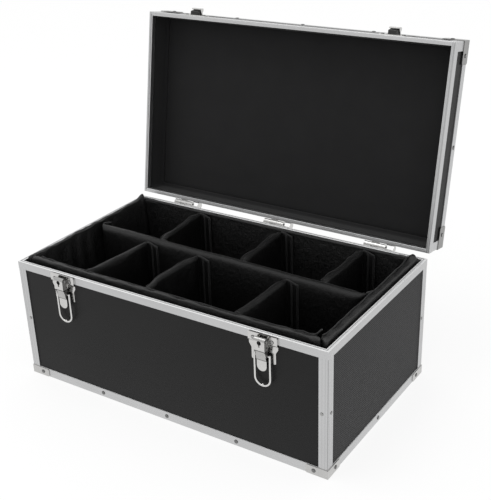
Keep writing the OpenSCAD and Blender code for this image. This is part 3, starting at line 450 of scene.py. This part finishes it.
def binding(name):
    """Ribbed tape that binds the pads' edges."""
    finish = Finish(name)
    here = finish.place()
    rib = abs(((finish.along(here, "X") + finish.along(here, "Y")) * (math.pi / 0.0011)).sine())
    cloud = finish.noise(here, 160, 3)
    return finish.surface(
        Base_Color=finish.blend(0.6 * rib + 0.4 * cloud, (0.002, 0.002, 0.0021), (0.01, 0.01, 0.0104)),
        Roughness=0.6 + 0.15 * cloud,
        Specular_IOR_Level=0.35,
        Sheen_Weight=0.1,
        Normal=finish.bump(rib, 0.00025, 0.7),
    )


def felt(name):
    """Black brushed lining with a cloudy nap."""
    finish = Finish(name)
    here = finish.place()
    nap = finish.noise(here, 26, 5, 0.6)
    fibre = finish.noise(finish.place(scale=(1, 1, 0.3)), 1100, 3, 0.7)
    return finish.surface(
        Base_Color=finish.blend(0.6 * nap + 0.4 * fibre, (0.0085, 0.0085, 0.0088),
                                (0.0165, 0.0165, 0.017)),
        Roughness=0.85 + 0.1 * fibre,
        Specular_IOR_Level=0.15,
        Sheen_Weight=0.1,
        Normal=finish.bump(fibre * 0.7 + nap * 0.3, 0.0004, 0.4),
    )


def moulded_black(name):
    """Moulded handle with a leather grain."""
    finish = Finish(name)
    here = finish.place()
    cells = finish.node("TexVoronoi", {"feature": "DISTANCE_TO_EDGE"}, {"Vector": here, "Scale": 620})
    cloud = finish.noise(here, 60, 3)
    return finish.surface(
        Base_Color=finish.blend(cloud, (0.006, 0.006, 0.006), (0.012, 0.012, 0.012)),
        Roughness=0.42 + 0.12 * cloud,
        Specular_IOR_Level=0.45,
        Normal=finish.bump(cells.ramp(0, 0.12), 0.00018, 0.6),
    )


def dress(material, *nodes):
    """Gives CAD nodes their finish."""
    for name in nodes:
        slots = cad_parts[name].data.materials
        slots.clear()
        slots.append(material)


dress(laminate("laminate_front", "X", "Z", 0.2, 0.004), "front_panel", "back_panel",
      "lid_top_panel")
# the side panels' grain carries a strong painted highlight in its base colour
dress(laminate("laminate_side_painted_highlight", "Y", "Z", 0.03, 0.072), "left_panel", "right_panel")
dress(laminate("laminate_lid_side", "Y", "Z", 0.12, 0.004), "lid_left_panel", "lid_right_panel")
dress(laminate("laminate_flat", "X", "Y", 0.2, 0.004), "bottom_panel", "lid_back_panel")
dress(laminate("laminate_lid_front", "X", "Y", 0.5, 0.004, 0.14), "lid_front_panel")
dress(edging("edging_long", "X"), "base_rim_front", "base_rim_back", "base_angle_front",
      "base_angle_back")
dress(edging("edging_short", "Y"), "base_rim_left", "base_rim_right", "base_angle_left",
      "base_angle_right")
# painted shade lines on the edging, as (distance in from the outer corner, how dark)
UPRIGHT_RIB_SHADES = ((0.0004, 0.45), (0.0042, 0.2), (0.0088, 0.16))
LID_RIM_RIB_SHADES = ((0.0012, 0.5), (0.0042, 0.4))
dress(edging("edging_upright", "Z", UPRIGHT_RIB_SHADES), "base_upright_angles")
dress(edging("edging_lid", "lid", LID_RIM_RIB_SHADES), "lid_rim")
dress(edging("edging_lid_top", "lid"), "lid_top_angles", "lid_corner_angles")
dress(plating("bracket_plating", 0.56, 0.24), "base_brackets")
# painted shade: the lid's brackets get a darker copy of the base brackets' plating
dress(plating("lid_bracket_plating_shaded", 0.3, 0.24), "lid_brackets")
dress(rivet_metal("rivet_plating"), "base_rivets", "lid_rivets")
dress(plating("latch_pin_plating", 0.5, 0.2), "latch_pins")
dress(plating("hinge_pin_plating", 0.1, 0.3), "hinge_pins")
fitting = plating("fitting_plating", 0.64, 0.14)
for side in ("left", "right"):
    dress(fitting, f"latch_plate_{side}", f"strike_{side}")
    dress(lever_plating(f"lever_plating_{side}"), f"latch_lever_{side}")
    dress(plating(f"wire_plating_{side}", 0.7, 0.12), f"latch_bail_{side}")
    dress(lock_metal(f"lock_metal_{side}"), f"lock_plug_{side}")
for spot in ("left", "middle", "right"):
    dress(fitting, f"hinge_base_{spot}", f"hinge_lid_{spot}")
dress(fitting, "handle_mounts")
dress(moulded_black("handle_black"), "lid_handle", "strike_blocks")


# ---- Padded insert ----

def smooth_row(points, step):
    """Points no further apart than step, on a smooth line through the given ones."""
    row = []
    last = len(points) - 1
    for i in range(last):
        before, a, b, after = (Vector(points[min(max(j, 0), last)]) for j in range(i - 1, i + 3))
        count = max(1, math.ceil((b - a).length / step))
        for j in range(count):
            t = j / count
            row.append(0.5 * (2 * a + t * (b - before) + t * t * (2 * before - 5 * a + 4 * b - after)
                              + t ** 3 * (3 * a - before - 3 * b + after)))
    row.append(Vector(points[last]))
    return row


def new_piece(name, points, faces):
    mesh = bpy.data.meshes.new(name)
    mesh.from_pydata(points, [], faces)
    mesh.validate()
    piece = bpy.data.objects.new(name, mesh)
    bpy.context.scene.collection.objects.link(piece)
    return piece


def skin(name, rings):
    """Closed skin over rings of points; each end is closed by a ladder of quads."""
    n = len(rings[0])
    points = [point for ring in rings for point in ring]
    faces = []
    for i in range(len(rings) - 1):
        for j in range(n):
            k = (j + 1) % n
            faces.append((i * n + j, i * n + k, (i + 1) * n + k, (i + 1) * n + j))
    end = (len(rings) - 1) * n
    for j in range(n // 2 - 1):
        faces.append((n - 1 - j, n - 2 - j, j + 1, j))
        faces.append((end + j, end + j + 1, end + n - 2 - j, end + n - 1 - j))
    return new_piece(name, points, faces)


def tubes(name, paths, radius, sides=8):
    """Round cords along smooth paths, closed at their ends."""
    points, faces = [], []
    for path in paths:
        row = smooth_row(path, radius * 1.6)
        start = len(points)
        across = Vector((0.31, 0.22, 0.92))
        for i, at in enumerate(row):
            along = (row[min(i + 1, len(row) - 1)] - row[max(i - 1, 0)]).normalized()
            across = (across - along * across.dot(along)).normalized()
            other = along.cross(across)
            end = min(i, len(row) - 1 - i)
            r = radius * (0.55, 0.9)[end] if end < 2 else radius
            for j in range(sides):
                a = 2 * math.pi * j / sides
                points.append(at + r * (math.cos(a) * across + math.sin(a) * other))
        for i in range(len(row) - 1):
            for j in range(sides):
                k = (j + 1) % sides
                a = start + i * sides
                faces.append((a + j, a + k, a + sides + k, a + sides + j))
        faces.append(tuple(start + j for j in reversed(range(sides))))
        faces.append(tuple(start + (len(row) - 1) * sides + j for j in range(sides)))
    piece = new_piece(name, points, faces)
    piece.data.shade_smooth()
    return piece


def wall_rows(foot, head):
    """Heights up a wall, closer together towards its head."""
    return [foot + (head - foot) * (1 - (1 - i / WALL_ROWS) ** 1.3) for i in range(WALL_ROWS)]


def pad_section(depth, foot, crest, roll, lean):
    """From the outer foot over the roll, the seam and the shoulder to the inner foot,
    as (depth, height). Roll is the share of the depth that the roll takes; lean is how
    much thinner the pad is at its head."""
    rx = roll * depth / 2
    ry = 0.006
    head = crest - ry
    seam = crest - 0.0026
    rows = wall_rows(foot, head)
    over = [(rx + rx * math.cos(a), head + ry * math.sin(a))
            for a in (math.radians(v) for v in (176, 150, 125, 100, 75, 50, 28))]
    edge = depth - lean
    shoulder = [(roll * depth + 0.0004, seam), (edge - 0.0011, seam + 0.0002),
                (edge - 0.0002, seam - 0.0014)]
    inner = [(depth - lean * ((z - foot) / (head - foot)) ** 3, z - 0.001) for z in reversed(rows)]
    return [(0.0, z) for z in rows] + over + shoulder + inner


def pad_point(side, run, depth, height):
    """Point in the case, at run along a side and depth in from its panel's outer face."""
    if side == "front":
        return Vector((run, depth - HALF_D, height))
    if side == "right":
        return Vector((HALF_W - depth, run, height))
    if side == "back":
        return Vector((-run, HALF_D - depth, height))
    return Vector((depth - HALF_W, -run, height))


def drift(seed, *place):
    """Smooth noise from -1 to 1 at a place."""
    return noise.noise(Vector((*place, 0, 0)[:3]) + Vector((seed * 7.31, seed * 3.17, seed)))


def wall_pad(side):
    """Pad along one side: its piece, the points that are held and the line of its tape."""
    inset, depth, crest, ends, seed = WALL_PADS[side]
    wall = HALF_W if side in ("front", "back") else HALF_D
    first = ends[0][0] + SOFT_GAP - wall
    last = wall - ends[1][0] - SOFT_GAP
    count = round((last - first) / 0.0065)
    rings = []
    for i in range(count + 1):
        run = first + (last - first) * i / count
        u = 2 * i / count - 1
        near = min(run - first, last - run)
        mitre = ends[u > 0][1] * max(0, 1 - near / 0.034)
        rise = PAD_LIFT * abs(u) ** 6 - 0.0018 * math.exp(-near / 0.0015)
        rise += 0.0004 * drift(seed, run * 24)
        if side in ("left", "right"):
            behind = last - run if side == "right" else run - first
            rise += BACK_PEAK * math.exp(-(behind / 0.008) ** 2)
        pucker = 0.0011 * max(0, drift(seed + 5, run * 75)) * min(1, near / 0.02)
        ring = []
        section = pad_section(depth, PAD_FOOT, crest + rise, ROLL_SHARE[side], PAD_LEAN[side])
        for j, (d, z) in enumerate(section):
            if WALL_ROWS <= j < WALL_ROWS + 4:
                d += pucker * (WALL_ROWS + 4 - j) / 3
                z -= 0.5 * pucker
            if j > SEAM_POINT + 1:
                d += 0.0006 * drift(seed + 9, run * 17, z * 14) + INNER_BULGE[side](run, z)
            d = max(d, 0)
            ring.append(pad_point(side, run - math.copysign(mitre * d, u), d + inset, z))
        rings.append(ring)
    piece = skin("pad_fabric_" + side, rings)
    n = len(rings[0])
    sewn = (0, 1, WALL_ROWS + 2, SEAM_POINT, n - 2, n - 1)
    held = [i * n + j for i in range(count + 1) for j in range(n) if i in (0, count) or j in sewn]
    return piece, held, [i * n + SEAM_POINT + 1 for i in range(1, count)]


def divider_section(thick, foot, top):
    """From one foot over the rounded top to the other foot, as (side, height)."""
    r = thick / 2
    rows = wall_rows(foot, top - r)
    left = [(-r, z) for z in rows]
    over = [(r * math.cos(a), top - r + r * math.sin(a))
            for a in (math.radians(v) for v in (172, 144, 108, 72, 36, 8))]
    return left + over + [(-d, z) for d, z in reversed(left)]


def flap_stations(x, y, along, aside, top, length, thick):
    """Stations of a flap: the wall ends at x, y, leaves along and its flap turns aside."""
    rows = [(0.54 * thick, 0, 0.9 * thick, 0.06), (0.27 * thick, 0.0006, 1.5 * FLAP_T, 0.12),
            (FLAP_T / 2, 0.0034, FLAP_T, 0.22), (FLAP_T / 2, 0.6 * length, FLAP_T, 0.6),
            (FLAP_T / 2, length, 0.8 * FLAP_T, 1)]
    return [(x - along[0] * back + aside[0] * out, y - along[1] * back + aside[1] * out,
             t, top - fall * FLAP_FALL) for back, out, t, fall in rows]


def flap_binding(x, y, along, aside, top, length):
    """Path of the tape round a flap: along its sloping top and down its free edge."""
    out = FLAP_T / 2
    def at(share, z):
        return Vector((x - along[0] * out + aside[0] * share * length,
                       y - along[1] * out + aside[1] * share * length, z))
    low = top - FLAP_FALL
    return [at(0.12, top - 0.0016), at(0.5, top - 0.5 * FLAP_FALL), at(0.92, low + 0.0004),
            at(1.02, low - 0.003), at(1.0, low - 0.04), at(1.0, 0.1), at(1.0, PAD_FOOT + 0.003)]


def flap_seam(path):
    """Path of the stitched line beside a flap's free edge, from the path of its tape."""
    inboard = 0.5 * (path[0].to_2d() - path[4].to_2d()).to_3d()
    return [path[2] + inboard + Vector((0, 0, 0.0035)), *(at + inboard for at in path[3:])]


def divider(name, stations, seed):
    """Padded wall along stations of x, y, thickness and top: its piece, the points that are
    held and the line of its piping."""
    dense = smooth_row(stations, 0.0065)
    rings = []
    for i, st in enumerate(dense):
        ahead = (dense[min(i + 1, len(dense) - 1)] - dense[max(i - 1, 0)]).to_2d().normalized()
        aside = Vector((ahead.y, -ahead.x))
        thin = st[2] < THIN_WALL
        ring = []
        for d, z in divider_section(st[2], PAD_FOOT, st[3]):
            wave = 0 if thin else 0.0006 * drift(seed, st[0] * 30, st[1] * 30, z * 14)
            lift = 0 if thin else 0.0003 * drift(seed + 3, st[0] * 42, st[1] * 42)
            ring.append(Vector((*(st.to_2d() + aside * (d + wave)), z + lift)))
        rings.append(ring)
    piece = skin(name + "_fabric", rings)
    n = len(rings[0])
    last = len(dense) - 1
    held = [i * n + j for i in range(last + 1) for j in range(n)
            if dense[i][2] < THIN_WALL or j in (0, 1, n - 2, n - 1)]
    piping = [i * n + WALL_ROWS + 1 for i in range(last + 1) if dense[i][2] > THIN_WALL]
    return piece, held, piping


def long_middle(x):
    """Middle line of the long divider."""
    return LONG_LEFT + (LONG_RIGHT - LONG_LEFT) * (x + INNER_X) / (2 * INNER_X)


def long_divider():
    reach = INNER_X - SOFT_GAP - 0.0011
    top = BASE_H + LONG_CREST
    ends = [(-reach, (-1, 0)), (reach, (1, 0))]
    left, right = [flap_stations(x, long_middle(x), along, (0, 1), top, FLAP_LEN, LONG_T)
                   for x, along in ends]
    middle = []
    for i in range(-4, 5):
        x = i * 0.21 * INNER_X
        middle.append((x, long_middle(x) + 0.0008 * math.sin(math.radians(i * 80)), LONG_T,
                       top + 0.0004 * math.cos(math.radians(i * 95))))
    flaps = [flap_binding(x, long_middle(x), along, (0, 1), top, FLAP_LEN) for x, along in ends]
    return divider("long_divider", left[::-1] + middle + right, 11), flaps


def front_divider(name, line, seed, front_flap=False):
    """Cross divider in the front row; line holds (share of the depth, share of half the width)."""
    y0 = WALL_GAP - INNER_FRONT
    last = line[-1][1] * INNER_X
    y1 = long_middle(last) - LONG_GAP
    path = [(x * INNER_X, y0 + share * (y1 - y0), DIVIDER_T, DIVIDER_TOP - 0.0006 * share)
            for share, x in line]
    start = [path[0]]
    flaps = [flap_binding(last, y1, (0, 1), (1, 0), DIVIDER_TOP - 0.001, FLAP_LEN)]
    if front_flap:
        start = flap_stations(path[0][0], y0, (0, -1), (1, 0), DIVIDER_TOP, SHORT_FLAP, DIVIDER_T)[::-1]
        flaps.append(flap_binding(path[0][0], y0, (0, -1), (1, 0), DIVIDER_TOP, SHORT_FLAP))
    end = flap_stations(last, y1, (0, 1), (1, 0), DIVIDER_TOP - 0.001, FLAP_LEN, DIVIDER_T)
    return divider(name, start + path[1:] + end, seed), flaps


def back_divider(name, x0, x1, seed):
    """Cross divider in the back row, between shares of half the width."""
    a, b = x0 * INNER_X, x1 * INNER_X
    y0 = long_middle(a) + LONG_GAP
    y1 = INNER_BACK - WALL_GAP
    first = flap_stations(a, y0, (0, -1), (1, 0), DIVIDER_TOP - 0.001, FLAP_LEN, DIVIDER_T)
    middle = [(a + u * (b - a) + 0.0007 * math.sin(math.radians(u * 300)), y0 + u * (y1 - y0),
               DIVIDER_T, DIVIDER_TOP) for u in (0.12, 0.35, 0.6, 0.86)]
    last = flap_stations(b, y1, (0, 1), (1, 0), DIVIDER_TOP - 0.0006, FLAP_LEN, DIVIDER_T)
    flaps = [flap_binding(a, y0, (0, -1), (1, 0), DIVIDER_TOP - 0.001, FLAP_LEN),
             flap_binding(b, y1, (0, 1), (1, 0), DIVIDER_TOP - 0.0006, FLAP_LEN)]
    return divider(name, first[::-1] + middle + last, seed), flaps


def blow_up(pieces, cap, growth=0.025, pressure=4.0, frames=20):
    """Lets the pieces' fabric swell between the points that hold it, by cap at most."""
    for piece, held in pieces:
        group = piece.vertex_groups.new(name="held")
        group.add(held, 1.0, "REPLACE")
        cloth = piece.modifiers.new("cloth", "CLOTH")
        cloth.point_cache.frame_start = 1
        cloth.point_cache.frame_end = frames
        settings = cloth.settings
        settings.quality = 4
        settings.mass = 0.25
        settings.tension_stiffness = 12
        settings.compression_stiffness = 12
        settings.shear_stiffness = 6
        settings.bending_stiffness = 0.4
        settings.vertex_group_mass = "held"
        settings.shrink_min = -growth
        settings.use_pressure = True
        settings.uniform_pressure_force = pressure
        settings.effector_weights.gravity = 0
    scene = bpy.context.scene
    for step in range(1, frames + 1):
        scene.frame_set(step)
    blown = bpy.context.evaluated_depsgraph_get()
    for piece, held in pieces:
        swollen = piece.evaluated_get(blown).data.vertices
        places = [vertex.co.copy() for vertex in swollen]
        piece.modifiers.clear()
        piece.vertex_groups.clear()
        for vertex, place in zip(piece.data.vertices, places):
            move = place - vertex.co
            if move.length > cap:
                move *= cap / move.length
            vertex.co += move
    scene.frame_set(1)


def round_off(piece):
    """Applies one subdivision and smooth shading."""
    piece.modifiers.new("round", "SUBSURF").levels = 1
    fine = piece.evaluated_get(bpy.context.evaluated_depsgraph_get())
    smooth = bpy.data.meshes.new_from_object(fine)
    smooth.name = piece.name
    piece.modifiers.clear()
    piece.data = smooth
    smooth.shade_smooth()


def floor_pad():
    """Floor pad with a low crown, sewn down along its edges."""
    rx = HALF_W - PANEL_T - 0.0015
    ry = HALF_D - PANEL_T - 0.0015
    low, high = FLOOR_TOP, FLOOR_TOP + FLOOR_PAD_T
    rings = []
    for i in range(57):
        x = -rx + 2 * rx * i / 56
        over, under = [], []
        for j in range(33):
            y = -ry + 2 * ry * j / 32
            edge = min(rx - abs(x), ry - abs(y))
            drop = 0.0035 * math.exp(-edge / 0.006) - 0.0004 * drift(21, x * 22, y * 22)
            over.append(Vector((x, y, high - 0.0006 - drop)))
            under.append(Vector((x, y, low)))
        rings.append(over + under[::-1])
    return skin("floor_pad_fabric", rings)


def in_lid(x, y, z):
    """Place in the open lid of a point given in the closed one."""
    pivot = Vector((0, HINGE_Y, HINGE_Z))
    return pivot + Matrix.Rotation(-LID_OPEN, 3, "X") @ (Vector((x, y, z)) - pivot)


def lid_lining():
    """Foam-backed lining on the inside of the lid's top, with soft edges."""
    rx = HALF_W - PANEL_T - 0.0013
    ry = HALF_D - PANEL_T - 0.0013
    rings = []
    for i in range(57):
        x = -rx + 2 * rx * i / 56
        face, back = [], []
        for j in range(33):
            y = -ry + 2 * ry * j / 32
            edge = min(rx - abs(x), ry - abs(y))
            sink = 0.0022 * math.exp(-edge / 0.005) + 0.0005 * drift(31, x * 9, y * 9)
            sink += 0.0009 * math.exp(-((ry - y - 0.027 + 0.003 * math.sin(x * 20)) / 0.006) ** 2)
            face.append(in_lid(x, y, LINING_BACK - LINING_T + 0.0006 + sink))
            back.append(in_lid(x, y, LINING_BACK))
        rings.append(back + face[::-1])
    return skin("lid_lining_felt", rings)


def lid_lining_walls():
    """Felt turned down over the inside of the lid's walls, in one band with coved edges."""
    low = BASE_H + RIM_INNER + 0.0006
    high = LINING_BACK - LINING_T
    cove = 0.006
    face = [(0.0006, low), (0.0008, low + 0.006), (0.0009, low + 0.014), (0.001, high - cove - 0.001)]
    face += [(0.001 + cove * (1 - math.cos(a)), high - cove + cove * math.sin(a))
             for a in (math.radians(v) for v in (20, 40, 60, 80))]
    section = face + [(d - 0.0005, z + 0.0003) for d, z in reversed(face)]
    n = len(section)
    corner = 0.008
    rings = []
    for a in range(4):
        sx, sy = (1, 1, -1, -1)[a], (-1, 1, 1, -1)[a]
        for b in range(7):
            turn = math.radians(90 * (a - 1) + 90 * b / 6)
            ring = []
            for d, z in section:
                cx = sx * (HALF_W - PANEL_T - corner)
                cy = sy * (HALF_D - PANEL_T - corner)
                r = max(corner - d, 0.0006)
                ring.append(in_lid(cx + r * math.cos(turn), cy + r * math.sin(turn), z))
            rings.append(ring)
    points = [point for ring in rings for point in ring]
    count = len(rings)
    faces = [(i * n + j, i * n + (j + 1) % n, (i + 1) % count * n + (j + 1) % n,
              (i + 1) % count * n + j) for i in range(count) for j in range(n)]
    return new_piece("lid_lining_walls", points, faces)


def belongs(piece, body, material, node=None):
    """Hands a piece its finish, the body it rides on and what it stands for."""
    piece.data.materials.clear()
    piece.data.materials.append(material)
    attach(piece, body)
    if node:
        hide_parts(node)


def line_of(piece, row, lift=0.0):
    """Path along some points of a piece, a little above them."""
    return [piece.data.vertices[i].co + Vector((0, 0, lift)) for i in row]


def build_insert():
    # lit and shaded copies of one nylon: the pads' copy is lighter and glossier than the dividers'
    lit_pad_cloth = nylon("pad_nylon_lit", 0.0035, 0.6, 0.0042)
    fabric = nylon("divider_nylon_shaded", 0.0025, 0.34, 0.003)
    tape = binding("insert_binding")
    pads = {side: wall_pad(side) for side in WALL_PADS}
    walls = {
        "long_divider": long_divider(),
        "front_divider_left": front_divider("front_divider_left", FRONT_LEFT_LINE, 12),
        "front_divider_middle": front_divider("front_divider_middle", FRONT_MIDDLE_LINE, 13, True),
        "front_divider_right": front_divider("front_divider_right", FRONT_RIGHT_LINE, 14),
        "back_divider_left": back_divider("back_divider_left", -0.515, -0.548, 15),
        "back_divider_middle": back_divider("back_divider_middle", 0.116, 0.102, 16),
        "back_divider_right": back_divider("back_divider_right", 0.683, 0.691, 17),
    }
    blow_up([(piece, held) for piece, held, line in pads.values()]
            + [(piece, held) for (piece, held, line), flaps in walls.values()], SWELL)
    for side, (piece, held, line) in pads.items():
        cord = tubes("pad_binding_" + side, [line_of(piece, line, 0.0004)[::2]], 0.0012)
        round_off(piece)
        belongs(piece, "base", lit_pad_cloth, "pad_" + side)
        belongs(cord, "base", tape)
    for node, ((piece, held, line), flaps) in walls.items():
        cord = tubes(node + "_binding", flaps, 0.0017)
        seams = tubes(node + "_seams", [flap_seam(path) for path in flaps], 0.0024, 6)
        piping = tubes(node + "_piping", [line_of(piece, line, 0.0001)[::2]], 0.0006, 6)
        round_off(piece)
        belongs(piece, "base", fabric, node)
        for trim in (cord, seams, piping):
            belongs(trim, "base", tape)
    floor = floor_pad()
    floor.data.shade_smooth()
    belongs(floor, "base", fabric, "floor_pad")
    loop = tubes("corner_loop", [CORNER_LOOP], 0.0011)
    belongs(loop, "base", tape)


def build_lining():
    cloth = felt("lining_felt")
    panel = lid_lining()
    walls = lid_lining_walls()
    for piece in (panel, walls):
        piece.data.shade_smooth()
    belongs(panel, "lid", cloth, "lid_lining")
    belongs(walls, "lid", cloth)


build_insert()
build_lining()


# ---- Stage and light ----

def build_stage():
    """White floor that keeps a faint shadow of the case."""
    half = 9
    mesh = bpy.data.meshes.new("floor")
    corners = [(-half, -half, 0), (half, -half, 0), (half, half, 0), (-half, half, 0)]
    mesh.from_pydata(corners, [], [(0, 1, 2, 3)])
    floor = bpy.data.objects.new("floor", mesh)
    bpy.context.scene.collection.objects.link(floor)
    finish = Finish("floor_white")
    paper = finish.node("BsdfDiffuse", {}, {"Color": (0.9, 0.9, 0.9, 1)})
    glow = finish.node("Emission", {}, {"Color": (1, 1, 1, 1), "Strength": 0.1})
    white = finish.node("Emission", {}, {"Color": (1, 1, 1, 1), "Strength": 1.0})
    lit = finish.node("AddShader", {}, {0: paper, 1: glow})
    seen = finish.node("LightPath", output="Is Camera Ray") * 0.82
    seen = seen + finish.node("LightPath", output="Is Glossy Ray")
    seen = seen + finish.node("LightPath", output="Is Transmission Ray")
    finish.node_out(finish.node("MixShader", {}, {0: seen, 1: lit, 2: white}))
    mesh.materials.append(finish.material)


def light_world():
    world = bpy.data.worlds.new("studio")
    bpy.context.scene.world = world
    world.use_nodes = True
    tree = world.node_tree
    tree.nodes["Background"].inputs["Color"].default_value = (1, 1, 1, 1)
    tree.nodes["Background"].inputs["Strength"].default_value = 0.95


def soft_lamp(name, at, towards, size, watts):
    data = bpy.data.lights.new(name, "AREA")
    data.shape = "SQUARE"
    data.size = size
    data.energy = watts
    lamp = bpy.data.objects.new(name, data)
    bpy.context.scene.collection.objects.link(lamp)
    lamp.location = at
    lamp.rotation_mode = "QUATERNION"
    lamp.rotation_quaternion = (Vector(at) - Vector(towards)).to_track_quat("Z", "Y")


build_stage()
light_world()
soft_lamp("key", (-0.6, -0.4, 2.4), (0, 0, 0.2), 1.2, 12)


# ---- View transform ----

bpy.context.scene.view_settings.view_transform = "Standard"
